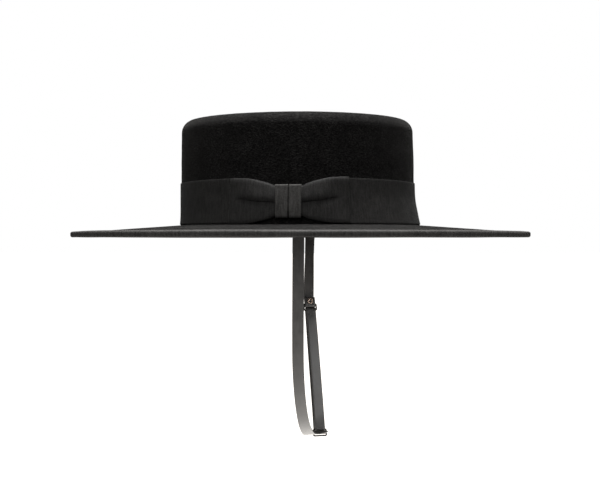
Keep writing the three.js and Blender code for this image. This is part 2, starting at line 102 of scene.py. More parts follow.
# Turns round shapes into the hat's oval, drawn in with height and arched along the sides
def ovalise(bm):
    for v in bm.verts:
        x, y, z = v.co
        radius = math.hypot(x, y)
        reach = min(1.0, radius / flatRadius) / max(radius, 1e-6)
        height = (z - hat["crownBase"]) / hat["crownHeight"]
        end = frontEnd if x < 0 else backEnd
        ends = hat["crownLean"] * readRows(wallRows, height, end)
        side = hat["crownLean"] * readRows(wallRows, height, sides)
        arch = hat["crownArch"] * readRows(wallRows, height, arching)
        v.co.x = x + x * reach * (hat["stretch"] - ends)
        v.co.y = y - y * reach * side
        v.co.z = z + handWobble(x, y, z) + arch * max(0.0, 1 - (x / hat["crownHalfWidth"]) ** 2)


def brimTopAt(radius):
    return hat["crownBase"] - hat["brimDrop"] * (radius - hat["crownHalfWidth"]) / hat["brimWidth"]


def arc(centre, height, radius, start, end, steps):
    turns = [math.radians(start + (end - start) * i / steps) for i in range(steps + 1)]
    return [(centre + radius * math.cos(a), height + radius * math.sin(a)) for a in turns]


# A straight stretch of an outline, without its two ends
def between(start, end, steps):
    a, b = Vector(start), Vector(end)
    return [tuple(a.lerp(b, i / steps)) for i in range(1, steps)]


# Spins a closed outline of (radius, height) round the Z axis
def spinOutline(outline, steps=hat["turns"]):
    bm = bmesh.new()
    verts = [bm.verts.new((radius, 0, height)) for radius, height in outline]
    edges = [bm.edges.new(pair) for pair in zip(verts, verts[1:] + verts[:1])]
    bmesh.ops.spin(
        bm,
        geom=verts + edges,
        cent=(0, 0, 0),
        axis=(0, 0, 1),
        angle=2 * math.pi,
        steps=steps,
        use_merge=True,
    )
    bmesh.ops.remove_doubles(bm, verts=bm.verts, dist=1e-5)
    bmesh.ops.recalc_face_normals(bm, faces=bm.faces)
    return bm


def onlyVerts(made):
    return [part for part in made if isinstance(part, bmesh.types.BMVert)]


def onlyEdges(made):
    return [part for part in made if isinstance(part, bmesh.types.BMEdge)]


# Weave coordinates of a ribbon that runs round the hat, in millimetres along it and across it
def weaveRound(bm, radius):
    uv = bm.loops.layers.uv.new("weave")
    for face in bm.faces:
        centre = face.calc_center_median()
        middle = math.atan2(centre.y, centre.x)
        for loop in face.loops:
            x, y, z = loop.vert.co
            turn = math.atan2(y, x) - middle
            turn = (turn + math.pi) % (2 * math.pi) - math.pi
            loop[uv].uv = ((middle + turn) * radius, z + math.hypot(x, y))


# Weave coordinates of a ribbon or strap that is still flat
def weaveFlat(bm, alongAxis=0):
    uv = bm.loops.layers.uv.new("weave")
    for face in bm.faces:
        for loop in face.loops:
            place = loop.vert.co
            loop[uv].uv = (place[alongAxis], place[1 - alongAxis])


# Gives a flat sheet its wall, growing towards +Z
def thicken(bm, thickness):
    bmesh.ops.recalc_face_normals(bm, faces=bm.faces)
    if next(iter(bm.faces)).normal.z > 0:
        bmesh.ops.reverse_faces(bm, faces=bm.faces[:])
    bmesh.ops.solidify(bm, geom=bm.faces[:], thickness=thickness)


# Rounds the edges between a sheet's faces and its wall
def roundRims(bm, radius):
    rims = [e for e in bm.edges if e.calc_face_angle(0) > 1.2]
    bmesh.ops.bevel(
        bm, geom=rims, offset=radius, segments=3, profile=0.5, affect="EDGES", material=-1
    )


# Makes a piece of a mesh in millimetres, with its faces turned outwards
def addPiece(bm, name, nodes, material, sharp=40):
    bmesh.ops.scale(bm, vec=(mm, mm, mm), verts=bm.verts)
    if bm.calc_volume(signed=True) < 0:
        bmesh.ops.reverse_faces(bm, faces=bm.faces[:])
    for face in bm.faces:
        face.smooth = True
    for edge in bm.edges:
        edge.smooth = edge.calc_face_angle(0) < math.radians(sharp)
    mesh = bpy.data.meshes.new(name)
    bm.to_mesh(mesh)
    bm.free()
    mesh.materials.append(material)
    piece = bpy.data.objects.new(name, mesh)
    bpy.context.scene.collection.objects.link(piece)
    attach(piece, "root")
    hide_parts(*nodes)
    print(name, len(mesh.polygons), "faces")
    return piece


# The finishes: felt, ribbon, leather, wire and eyelet


def addNode(tree, kind, inputs=None, **settings):
    made = tree.nodes.new("ShaderNode" + kind)
    for name, value in settings.items():
        setattr(made, name, value)
    for socket, value in (inputs or {}).items():
        if isinstance(value, bpy.types.NodeSocket):
            tree.links.new(value, made.inputs[socket])
        else:
            made.inputs[socket].default_value = value
    return made


def addNoise(tree, place, scale, detail, **inputs):
    settings = {"Vector": place, "Scale": scale, "Detail": detail, **inputs}
    return addNode(tree, "TexNoise", settings).outputs["Fac"]


def addVectors(tree, first, second):
    return addNode(tree, "VectorMath", {0: first, 1: second}, operation="ADD").outputs["Vector"]


def scaleVector(tree, vector, size):
    return addNode(tree, "VectorMath", {0: vector, "Scale": size}, operation="SCALE").outputs["Vector"]


# The two coordinates of a UV layer, as X and Y
def readLayer(tree, layer):
    uv = addNode(tree, "UVMap", uv_map=layer).outputs["UV"]
    return addNode(tree, "SeparateXYZ", {"Vector": uv}).outputs


def newFinish(name, **sockets):
    material = bpy.data.materials.new(name)
    material.use_nodes = True
    shader = material.node_tree.nodes["Principled BSDF"]
    for socket, value in sockets.items():
        shader.inputs[socket.replace("_", " ")].default_value = value
    return material, material.node_tree, shader


def mixColours(tree, share, dark, light):
    mix = addNode(tree, "Mix", {"Factor": share}, data_type="RGBA")
    mix.inputs["A"].default_value = (*dark, 1)
    mix.inputs["B"].default_value = (*light, 1)
    return mix.outputs["Result"]


def stretchTo(tree, value, low, high, toLow=0.0, toHigh=1.0):
    inputs = {"Value": value, "From Min": low, "From Max": high, "To Min": toLow, "To Max": toHigh}
    return addNode(tree, "MapRange", inputs).outputs["Result"]


def calculate(tree, operation, first, second=0.0):
    return addNode(tree, "Math", {0: first, 1: second}, operation=operation).outputs[0]


def bumpFrom(tree, shader, height, strength, distance):
    inputs = {"Height": height, "Strength": strength, "Distance": distance}
    bump = addNode(tree, "Bump", inputs)
    tree.links.new(bump.outputs["Normal"], shader.inputs["Normal"])


# Noise scales are per metre, but combsAround is per radian; curl and brimLevels are in metres
feltLook = {
    "dark": (0.0012, 0.0012, 0.0012),
    "light": (0.0215, 0.0207, 0.0200),
    "hairScale": (500, 1000, 1600),
    "hairTurns": ((0, 12, 0), (0, -32, 20), (30, 65, -15)),
    "fleck": (0.52, 0.80),
    "curlScale": 260.0,
    "curl": 0.0022,
    "combsAround": 90.0,
    "combsOutward": 55.0,
    "brimLevels": (0.003, 0.010),
    "patchScale": 60.0,
    "sheen": 0.018,
}


# Fine curled hairs that lie in three directions
def curledNap(tree, place):
    curl = addNode(tree, "TexNoise", {"Vector": place, "Scale": feltLook["curlScale"], "Detail": 2.0})
    curled = addVectors(tree, place, scaleVector(tree, curl.outputs["Color"], feltLook["curl"]))
    nap = None
    for turn in feltLook["hairTurns"]:
        lay = addNode(
            tree,
            "Mapping",
            {
                "Vector": curled,
                "Rotation": tuple(math.radians(degrees) for degrees in turn),
                "Scale": feltLook["hairScale"],
            },
        )
        hairs = addNoise(tree, lay.outputs["Vector"], 1.0, 2.0, Roughness=0.6)
        nap = hairs if nap is None else calculate(tree, "MAXIMUM", nap, hairs)
    return nap


# A factor on the nap's flecks: streaks that run outwards on the brim, and 1 on the crown
def combedShare(tree, place):
    flat = addNode(tree, "VectorMath", {0: place, 1: (1, 1, 0)}, operation="MULTIPLY").outputs["Vector"]
    around = addNode(tree, "VectorMath", {0: flat}, operation="NORMALIZE").outputs["Vector"]
    outward = addNode(tree, "VectorMath", {0: flat}, operation="LENGTH").outputs["Value"]
    outward = calculate(tree, "MULTIPLY", outward, feltLook["combsOutward"])
    run = addNode(tree, "CombineXYZ", {"Z": outward}).outputs["Vector"]
    turned = scaleVector(tree, around, feltLook["combsAround"])
    combed = addNoise(tree, addVectors(tree, turned, run), 1.0, 4.0)
    level = addNode(tree, "SeparateXYZ", {"Vector": place}).outputs["Z"]
    onBrim = stretchTo(tree, level, *feltLook["brimLevels"], 1.0, 0.0)
    comb = calculate(tree, "MULTIPLY", onBrim, stretchTo(tree, combed, 0.36, 0.64, -0.35, 0.9))
    return calculate(tree, "ADD", comb, 1.0)


def feltFinish():
    material, tree, shader = newFinish(
        "blackFelt",
        Roughness=1.0,
        Specular_IOR_Level=0.02,
        Sheen_Weight=feltLook["sheen"],
        Sheen_Roughness=0.45,
        Sheen_Tint=(1.0, 0.97, 0.93, 1),
    )
    place = addNode(tree, "TexCoord").outputs["Object"]
    nap = curledNap(tree, place)
    patch = addNoise(tree, place, feltLook["patchScale"], 3.0)
    fleck = stretchTo(tree, nap, *feltLook["fleck"])
    fleck = calculate(tree, "MULTIPLY", fleck, combedShare(tree, place))
    fleck = calculate(tree, "MULTIPLY", fleck, stretchTo(tree, patch, 0.35, 0.65, 0.6, 1.0))
    colour = mixColours(tree, fleck, feltLook["dark"], feltLook["light"])
    tree.links.new(colour, shader.inputs["Base Color"])
    bumpFrom(tree, shader, nap, 0.6, 0.0008)
    return material


# The ribbon of the band and loops, and a lighter copy of the same ribbon on the knot and the rim: painted
# light, as these catch more of the lamps
ribbonLooks = {
    "grosgrain": {
        "dark": (0.0026, 0.0025, 0.0024),
        "light": (0.0175, 0.0169, 0.0162),
        "gloss": 0.08,
        "sheen": 0.015,
    },
    # A lighter, less glossy copy of the ribbon without sheen: painted light on the knot and the rim
    # binding
    "paintedLightGrosgrain": {
        "dark": (0.0125, 0.0121, 0.0117),
        "light": (0.0450, 0.0437, 0.0419),
        "gloss": 0.02,
        "sheen": 0.0,
    },
}

# The weave of both: pitches and streaks in mm, noise scales per metre
ribbonWeave = {
    "ribPitch": 1.0,
    "threadPitch": 0.25,
    "streakWidth": 1.7,
    "streakLength": 11.0,
    "cloudScale": 70.0,
    "lintScale": 900.0,
    "shadeRange": (0.76, 1.17),
}


def ribbonFinish(name):
    look = ribbonLooks[name]
    material, tree, shader = newFinish(
        name, Specular_IOR_Level=look["gloss"], Sheen_Weight=look["sheen"], Sheen_Roughness=0.5
    )
    weave = readLayer(tree, "weave")
    place = addNode(tree, "TexCoord").outputs["Object"]
    along = calculate(tree, "MULTIPLY", weave["X"], math.pi / ribbonWeave["ribPitch"])
    rib = calculate(tree, "ABSOLUTE", calculate(tree, "SINE", along))
    across = calculate(tree, "MULTIPLY", weave["Y"], 2 * math.pi / ribbonWeave["threadPitch"])
    thread = calculate(tree, "MULTIPLY", calculate(tree, "SINE", across), 0.12)
    drift = addNode(
        tree,
        "CombineXYZ",
        {
            "X": calculate(tree, "DIVIDE", weave["X"], ribbonWeave["streakWidth"]),
            "Y": calculate(tree, "DIVIDE", weave["Y"], ribbonWeave["streakLength"]),
        },
    ).outputs["Vector"]
    streak = addNoise(tree, drift, 1.0, 3.0, Roughness=0.7)
    cloud = addNoise(tree, place, ribbonWeave["cloudScale"], 5.0)
    lint = addNoise(tree, place, ribbonWeave["lintScale"], 2.0)
    shade = calculate(tree, "MULTIPLY", rib, 0.35)
    for part, weight in ((cloud, 0.3), (streak, 0.75), (lint, 0.45)):
        shade = calculate(tree, "ADD", shade, calculate(tree, "MULTIPLY", part, weight))
    share = stretchTo(tree, shade, *ribbonWeave["shadeRange"])
    tree.links.new(mixColours(tree, share, look["dark"], look["light"]), shader.inputs["Base Color"])
    tree.links.new(stretchTo(tree, cloud, 0.3, 0.7, 0.52, 0.68), shader.inputs["Roughness"])
    bumpFrom(tree, shader, calculate(tree, "ADD", rib, thread), 0.45, 0.00012)
    return material


leatherLook = {
    "dark": (0.0250, 0.0236, 0.0222),
    "light": (0.0450, 0.0427, 0.0403),
    "roughness": (0.36, 0.50),
    "grainScale": 1500.0,
    "cloudScale": 160.0,
    "streaksAlong": 0.05,
    "streaksAcross": 2.2,
}


def leatherFinish():
    material, tree, shader = newFinish("strapLeather", Specular_IOR_Level=0.6, IOR=1.5)
    weave = readLayer(tree, "weave")
    place = addNode(tree, "TexCoord").outputs["Object"]
    pores = addNode(
        tree,
        "TexVoronoi",
        {"Vector": place, "Scale": leatherLook["grainScale"], "Randomness": 1.0},
        feature="F1",
    ).outputs["Distance"]
    cloud = addNoise(tree, place, leatherLook["cloudScale"], 5.0)
    drift = addNode(
        tree,
        "CombineXYZ",
        {
            "X": calculate(tree, "MULTIPLY", weave["X"], leatherLook["streaksAlong"]),
            "Y": calculate(tree, "MULTIPLY", weave["Y"], leatherLook["streaksAcross"]),
        },
    ).outputs["Vector"]
    streak = addNoise(tree, drift, 1.0, 3.0)
    blend = calculate(tree, "MULTIPLY", calculate(tree, "ADD", cloud, streak), 0.5)
    share = stretchTo(tree, blend, 0.35, 0.65)
    colour = mixColours(tree, share, leatherLook["dark"], leatherLook["light"])
    tree.links.new(colour, shader.inputs["Base Color"])
    rough = stretchTo(tree, blend, 0.35, 0.65, *leatherLook["roughness"])
    tree.links.new(rough, shader.inputs["Roughness"])
    sunk = calculate(tree, "MULTIPLY", pores, -0.6)
    height = calculate(tree, "ADD", sunk, calculate(tree, "MULTIPLY", streak, 0.5))
    bumpFrom(tree, shader, height, 0.25, 0.0001)
    return material


# Below the first radius of its bore, in mm, the eyelet is coloured near black, a painted shade for the
# dark hole; from the second it has its own copper colour
metalLooks = {
    "gunmetalWire": {
        "dark": (0.012, 0.011, 0.010),
        "light": (0.030, 0.027, 0.024),
        "roughness": (0.28, 0.45),
    },
    "copperyEyelet": {
        "dark": (0.320, 0.230, 0.180),
        "light": (0.760, 0.590, 0.480),
        "roughness": (0.25, 0.45),
        "bore": (1.15, 1.45),
        "black": (0.003, 0.003, 0.003, 1),
    },
}


def metalFinish(name):
    look = metalLooks[name]
    material, tree, shader = newFinish(name, Metallic=1.0)
    place = addNode(tree, "TexCoord").outputs["Object"]
    wear = addNoise(tree, place, 900.0, 5.0)
    colour = mixColours(tree, stretchTo(tree, wear, 0.35, 0.65), look["dark"], look["light"])
    # Painted shade: the inside of the bore is coloured near black, where the hole is dark with shade
    if "bore" in look:
        bright = stretchTo(tree, readLayer(tree, "rolled")["X"], *look["bore"])
        paintedBoreShade = addNode(tree, "Mix", {"Factor": bright}, data_type="RGBA")
        paintedBoreShade.inputs["A"].default_value = look["black"]
        tree.links.new(colour, paintedBoreShade.inputs["B"])
        colour = paintedBoreShade.outputs["Result"]
    tree.links.new(colour, shader.inputs["Base Color"])
    rough = stretchTo(tree, wear, 0.3, 0.7, *look["roughness"])
    tree.links.new(rough, shader.inputs["Roughness"])
    bumpFrom(tree, shader, wear, 0.15, 0.00005)
    return material


felt = feltFinish()
grosgrain = ribbonFinish("grosgrain")
paintedLightGrosgrain = ribbonFinish("paintedLightGrosgrain")
leather = leatherFinish()
gunmetal = metalFinish("gunmetalWire")
copper = metalFinish("copperyEyelet")
print("finishes ready")

# The felt body: crown and brim in one piece

feltSizes = {
    "junctionFillet": 0.8,
    "openingFillet": 3.5,
    "rimHalf": 1.5,
    "pressed": 0.72,
    "lap": 8.5,
    "unevenness": 0.10,
}
rimArcCentre = rimRadius - hat["binding"] - hat["gap"] - feltSizes["rimHalf"]
rimLevel = brimTopAt(rimArcCentre) - feltSizes["rimHalf"]
lapRadius = rimRadius - feltSizes["lap"]


def domeLine(height, steps=10):
    shares = [i / steps for i in range(steps)]
    return [(flatRadius * s, height - hat["crownDome"] * s * s) for s in shares]


def feltOutline():
    edgeLevel = crownTop - hat["crownDome"] - hat["crownEdge"]
    innerRadius = hat["crownHalfWidth"] - hat["wall"]
    innerEdge = hat["crownEdge"] - hat["wall"]
    fillet, opening = feltSizes["junctionFillet"], feltSizes["openingFillet"]
    base = hat["crownBase"] + fillet
    topCorner = arc(flatRadius, edgeLevel, hat["crownEdge"], 90, 0, 14)
    junction = arc(hat["crownHalfWidth"] + fillet, base, fillet, 180, 266, 4)
    lapStart = (lapRadius, brimTopAt(lapRadius))
    rim = arc(rimArcCentre, rimLevel, feltSizes["rimHalf"], 90, -90, 10)
    mouth = arc(innerRadius + opening, opening, opening, 270, 180, 6)
    innerCorner = arc(flatRadius, edgeLevel, innerEdge, 0, 90, 10)
    return [
        *domeLine(crownTop),
        *topCorner,
        *between(topCorner[-1], junction[0], 30),
        *junction,
        *between(junction[-1], lapStart, 24),
        lapStart,
        *between(lapStart, rim[0], 3),
        *rim,
        *between(rim[-1], mouth[0], 24),
        *mouth,
        *between(mouth[-1], innerCorner[0], 24),
        *innerCorner,
        *reversed(domeLine(crownTop - hat["wall"])),
    ]


def addFelt():
    bm = spinOutline(feltOutline())
    ovalise(bm)
    bm.normal_update()
    for v in bm.verts:
        push = noise.fractal(v.co / 9, 1.0, 2.0, 3) * feltSizes["unevenness"]
        if v.co.xy.length < lapRadius - 2:
            v.co += v.normal * push
    return addPiece(bm, "feltHat", ["felt_body"], felt)


addFelt()

# The ribbon folded over the rim of the brim


# The rim's half round from top to bottom, with its face pressed flatter than a circle
def pressedArc(radius, steps):
    points = []
    for along, up in arc(0, 0, 1, 90, -90, steps):
        along = max(along, 0) ** feltSizes["pressed"]
        up = math.copysign(abs(up) ** feltSizes["pressed"], up)
        points.append((rimArcCentre + radius * along, rimLevel + radius * up))
    return points


def bindingOutline():
    inner = feltSizes["rimHalf"] + hat["gap"]
    outer = inner + hat["binding"]
    level = rimLevel + brimTopAt(lapRadius) - brimTopAt(rimArcCentre)
    edge = hat["binding"] / 2
    return [
        *arc(lapRadius + edge, level + inner + edge, edge, 260, 100, 4),
        *between((lapRadius + edge, level + outer), (rimArcCentre, rimLevel + outer), 4),
        *pressedArc(outer, 20),
        *between((rimArcCentre, rimLevel - outer), (lapRadius + edge, level - outer), 4),
        *arc(lapRadius + edge, level - inner - edge, edge, 260, 100, 4),
        *between((lapRadius + edge, level - inner), (rimArcCentre, rimLevel - inner), 4),
        *arc(rimArcCentre, rimLevel, inner, -90, 90, 12),
        *between((rimArcCentre, rimLevel + inner), (lapRadius + edge, level + inner), 4),
    ]


def addBinding():
    bm = spinOutline(bindingOutline())
    weaveRound(bm, rimRadius)
    ovalise(bm)
    # The binding takes the lighter ribbon copy, which is painted light
    return addPiece(bm, "rimBinding", ["brim_binding"], paintedLightGrosgrain)


addBinding()

# The bow, and the band that is gathered behind it

bow = {
    "offset": -4.1,
    "reach": 53.6,
    "height": 37.6,
    "level": 22.5,
    "depth": 5.0,
    "setback": 2.0,
    "ribbon": 0.5,
    "softEdge": 0.12,
    "steps": 72,
}
knot = {
    "width": 22.2,
    "height": 27.4,
    "drop": 1.0,
    "thickness": 0.9,
    "edge": 0.4,
    "bottomRound": 2.4,
    "topRound": 1.8,
    "backRound": 1.0,
    "gapTop": 0.5,
    "gapBottom": 1.1,
    "bulge": 0.7,
    "swell": 0.25,
    "steps": 8,
}

bandMiddle = bow["level"]

# One loop from above: share of the run, then shares of the reach and of the depth
loopRows = [
    (0.00, 0.00, 0.31),
    (0.09, 0.20, 0.31),
    (0.18, 0.45, 0.15),
    (0.33, 0.80, 0.13),
    (0.44, 0.975, 0.15),
    (0.47, 1.00, 0.27),
    (0.50, 0.975, 0.40),
    (0.60, 0.80, 0.53),
    (0.74, 0.52, 0.74),
    (0.84, 0.34, 0.70),
    (0.91, 0.22, 0.58),
    (1.00, 0.00, 0.55),
]

# Height of a loop at each share of the reach, 0 the knot's and 1 the bow's: in front, then behind
flareRows = [
    (0.00, -0.42, -0.36),
    (0.17, -0.42, -0.30),
    (0.27, 0.02, 0.16),
    (0.40, 0.40, 0.52),
    (0.62, 0.86, 0.92),
    (0.82, 1.00, 1.00),
    (1.00, 1.00, 1.00),
]
inFront, behind = 1, 2

# The fold across a loop: share of the ribbon's width, then how far it is shifted up and lifted, in mm
foldRows = [
    (0.00, 0.0, 0.00),
    (0.02, 0.0, 0.00),
    (0.08, 0.0, 0.05),
    (0.16, 0.0, 0.12),
    (0.26, 0.0, 0.20),
    (0.34, 0.2, 0.20),
    (0.40, 0.8, -0.20),
    (0.44, 2.0, -0.80),
    (0.47, 2.6, -0.80),
    (0.485, 2.0, -0.45),
    (0.50, 0.4, 0.00),
    (0.515, -1.2, 0.45),
    (0.53, -2.0, 0.90),
    (0.56, -1.7, 1.35),
    (0.62, -0.6, 1.50),
    (0.70, -0.2, 1.20),
    (0.78, 0.0, 0.80),
    (0.86, 0.0, 0.42),
    (0.93, 0.0, 0.15),
    (0.98, 0.0, 0.02),
    (1.00, 0.0, 0.00),
]

# How the loop's top and bottom edges roll back: share of the width, then mm
rollRows = [
    (0.00, 0.55),
    (0.02, 0.25),
    (0.05, 0.05),
    (0.09, 0.00),
    (0.91, 0.00),
    (0.95, 0.10),
    (0.98, 0.45),
    (1.00, 0.90),
]

# The two loops: direction, rise at the end, where the fold has died out and how far it climbs there
loops = {
    "bowLoopLeft": {
        "node": "bow_loop_left",
        "side": -1,
        "rise": 0.0,
        "foldStart": 0.50,
        "foldEnd": 0.93,
        "climb": 3.6,
        "lean": 1.9,
    },
    "bowLoopRight": {
        "node": "bow_loop_right",
        "side": 1,
        "rise": 0.9,
        "foldStart": 0.45,
        "foldEnd": 0.88,
        "climb": 4.4,
        "lean": -1.2,
    },
}


# Height of a ribbon of the bow at a share of the reach from the knot
def flaredHeight(share, layer):
    return knot["height"] + (bow["height"] - knot["height"]) * readRows(flareRows, share, layer)


band = {"gather": 0.9, "levels": 28}


# Draws the band together behind the knot, as the loops are
def gatherBand(bm):
    for v in bm.verts:
        around = math.atan2(v.co.x, -v.co.y) * (bandFace + hat["stretch"])
        share = band["gather"] * abs(around - bow["offset"]) / bow["reach"]
        v.co.z = bandMiddle + (v.co.z - bandMiddle) * flaredHeight(share, inFront) / bow["height"]


def addBand():
    bottom, top = bandMiddle - bow["height"] / 2, bandMiddle + bow["height"] / 2
    inner = hat["crownHalfWidth"] + hat["gap"]
    edge = hat["ribbon"] / 2
    outline = [
        *arc(inner + edge, top - edge, edge, 0, 180, 4),
        *between((inner, top - edge), (inner, bottom + edge), band["levels"]),
        *arc(inner + edge, bottom + edge, edge, 180, 360, 4),
        *between((bandFace, bottom + edge), (bandFace, top - edge), band["levels"]),
    ]
    bm = spinOutline(outline)
    weaveRound(bm, bandFace + hat["stretch"] / 2)
    gatherBand(bm)
    ovalise(bm)
    return addPiece(bm, "crownBand", ["hat_band"], grosgrain)


addBand()

# Lays a piece on the band: x is the way round from the bow's side, y the height, z the distance out
def layOnBand(bm):
    for v in bm.verts:
        turn = v.co.x / (bandFace + hat["stretch"]) - math.pi / 2
        radius = bandFace + v.co.z
        v.co = (radius * math.cos(turn), radius * math.sin(turn), v.co.y)
    ovalise(bm)


def smoothStep(low, high, at):
    t = min(max((at - low) / (high - low), 0.0), 1.0)
    return t * t * (3 - 2 * t)


# A point of a loop's middle surface at a share of its run and of its width
def loopSurface(loop, run, width):
    reach = bow["reach"] - bow["setback"] - bow["ribbon"] / 2
    share = readRows(loopRows, run, 1)
    front = smoothStep(0.42, 0.54, run)
    height = flaredHeight(share, inFront) * front + flaredHeight(share, behind) * (1 - front)
    fade = front * (1 - smoothStep(loop["foldStart"], loop["foldEnd"], share))
    shift = readRows(foldRows, width, 1) * fade
    lift = readRows(foldRows, width, 2) * fade
    climb = loop["climb"] * share * math.sin(math.pi * width)
    slant = loop["lean"] * smoothStep(0.7, 1.0, share) * (0.5 - width)
    bulge = 0.6 * smoothStep(0.8, 1.0, share) * math.sin(math.pi * width)
    out = bow["setback"] + share * reach + slant + bulge
    depth = readRows(loopRows, run, 2) * bow["depth"] + lift - readRows(rollRows, width, 1) * front
    middle = bandMiddle - knot["drop"] * (1 - share) + loop["rise"] * share
    up = middle + height * (width - 0.5) + shift + climb * front * 0.5
    return Vector((bow["offset"] + loop["side"] * out, up, depth))


def addLoop(name, loop):
    bm = bmesh.new()
    bmesh.ops.create_grid(bm, x_segments=bow["steps"], y_segments=len(foldRows) - 1, size=0.5)
    runLength = 2.1 * bow["reach"]
    for v in bm.verts:
        row = round((v.co.y + 0.5) * (len(foldRows) - 1))
        v.co = ((v.co.x + 0.5) * runLength, foldRows[row][0] * bow["height"], -bow["ribbon"] / 2)
    thicken(bm, bow["ribbon"])
    weaveFlat(bm)
    tiny = 0.002
    for v in bm.verts:
        run = min(max(v.co.x / runLength, tiny), 1 - tiny)
        width = min(max(v.co.y / bow["height"], tiny), 1 - tiny)
        alongStep = loopSurface(loop, run + tiny, width) - loopSurface(loop, run - tiny, width)
        acrossStep = loopSurface(loop, run, width + tiny) - loopSurface(loop, run, width - tiny)
        out = alongStep.cross(acrossStep).normalized()
        v.co = loopSurface(loop, v.co.x / runLength, v.co.y / bow["height"]) + out * v.co.z
    if loop["side"] < 0:
        bmesh.ops.reverse_faces(bm, faces=bm.faces[:])
    layOnBand(bm)
    bmesh.ops.recalc_face_normals(bm, faces=bm.faces)
    piece = addPiece(bm, name, [loop["node"]], grosgrain)
    bevel = piece.modifiers.new("softEdges", "BEVEL")
    bevel.width = bow["softEdge"] * mm
    bevel.segments = 2
    bevel.limit_method = "ANGLE"
    bevel.angle_limit = math.radians(50)
    return piece


for loopName, loopSizes in loops.items():
    addLoop(loopName, loopSizes)


# One of the two folded bands of the knot: its section, seen from the side, is (height, distance out)
def addKnotBand(name, side):
    half = knot["height"] / 2
    out = hat["gap"] + bow["depth"]
    low, high, back = knot["bottomRound"], knot["topRound"], knot["backRound"]
    section = [
        *arc(-half + low, out - low, low, 180, 90, 6),
        *[(i / 5 * (half - low), out + knot["bulge"] * math.cos(i * math.pi / 10)) for i in range(-4, 5)],
        *arc(half - high, out - high, high, 90, 0, 6),
        *arc(half - back, hat["gap"] + back, back, 0, -90, 3),
        *[(share * half, hat["gap"]) for share in (0.6, 0.2, -0.2, -0.6)],
        *arc(-half + back, hat["gap"] + back, back, 270, 180, 3),
    ]
    bm = bmesh.new()
    verts = [bm.verts.new((0, height, distance)) for height, distance in section]
    edges = [bm.edges.new(pair) for pair in zip(verts, verts[1:] + verts[:1])]
    bandWidth = knot["width"] / 2
    strip = edges
    for _ in range(knot["steps"]):
        made = bmesh.ops.extrude_edge_only(bm, edges=strip)["geom"]
        bmesh.ops.translate(bm, vec=(bandWidth / knot["steps"], 0, 0), verts=onlyVerts(made))
        strip = [e for e in onlyEdges(made) if len(e.link_faces) == 1]
    bmesh.ops.recalc_face_normals(bm, faces=bm.faces)
    bmesh.ops.solidify(bm, geom=bm.faces[:], thickness=knot["thickness"])
    bmesh.ops.recalc_face_normals(bm, faces=bm.faces)
    weaveFlat(bm)
    roundRims(bm, knot["edge"])
    for v in bm.verts:
        share = v.co.x / bandWidth
        down = 0.5 - v.co.y / knot["height"]
        gap = knot["gapTop"] + (knot["gapBottom"] - knot["gapTop"]) * down * down
        v.co.x = bow["offset"] + side * (gap / 2 + share * (bandWidth - gap / 2 - 0.5 * down))
        v.co.y += bandMiddle - knot["drop"]
        if v.co.z > bow["depth"] / 2:
            v.co.z += knot["swell"] * math.sin(math.pi * min(max(share, 0), 1))
    layOnBand(bm)
    bmesh.ops.recalc_face_normals(bm, faces=bm.faces)
    # The knot takes the lighter ribbon copy, which is painted light
    return addPiece(bm, name, ["bow_knot"], paintedLightGrosgrain)


addKnotBand("knotBandLeft", -1)
addKnotBand("knotBandRight", 1)
print("bow tied")

# The chin strap, its ring, its slide and the eyelet

strap = {
    "width": 10.0,
    "thickness": 1.4,
    "edge": 0.35,
    "tail": 25.0,
    "seat": 0.6,
    "drop": 193.9,
    "offset": 3.9,
    "farOffset": 0.9,
    "sway": 12.6,
    "turn": 30.0,
}
adjuster = {
    "wire": 1.5,
    "height": 7.6,
    "corner": 1.7,
    "cornerEase": 0.1,
    "sideGap": 0.5,
    "spacing": 123.0,
    "tilt": 17.0,
    "turn": 18.0,
    "twist": 18.0,
    "slideAcross": 42.0,
    "tab": 6.5,
    "foldDrop": 1.15,
    "tailTab": 9.0,
    "entry": -72,
}

# The near leg as it hangs: shares of half the span, of the drop, of the sway and of the turn
nearLegRows = [
    (-1.000, 0.000, 0.00, 0.0),
    (-0.985, 0.155, -0.02, 0.0),
    (-0.945, 0.310, -0.05, 0.0),
    (-0.875, 0.475, -0.09, 0.1),
    (-0.773, 0.630, -0.11, 0.5),
    (-0.625, 0.775, -0.03, 0.8),
    (-0.420, 0.889, 0.13, 1.0),
    (-0.165, 0.954, 0.33, 1.1),
    (0.120, 0.981, 0.57, 0.9),
]

# The far leg above its ring: share of the way down, bow in mm and share of the turn
farLegRows = [(0.00, 0.0, 0.2), (0.15, -1.3, 1.1), (0.40, -2.6, 1.2), (0.75, -1.8, 0.8)]

barSpacing = adjuster["height"] - adjuster["wire"]
wrapRadius = adjuster["wire"] / 2 + hat["gap"] + strap["thickness"] / 2
anchorAcross = hat["crownHalfWidth"] - hat["wall"] - strap["seat"] - strap["thickness"] / 2
ladderTurn = math.radians(adjuster["turn"])
ladderTilt = math.radians(adjuster["tilt"])
ladderAcross = Vector((math.cos(ladderTurn), math.sin(ladderTurn), 0))
ladderLean = Vector((-ladderAcross.y, ladderAcross.x, 0)) * math.sin(ladderTilt)
ladderUp = ladderLean + Vector((0, 0, math.cos(ladderTilt)))
ladderBack = ladderUp.cross(ladderAcross)
slideCentre = Vector((strap["offset"] + strap["sway"], adjuster["slideAcross"], -strap["drop"]))
ringCentre = slideCentre + ladderUp * adjuster["spacing"]


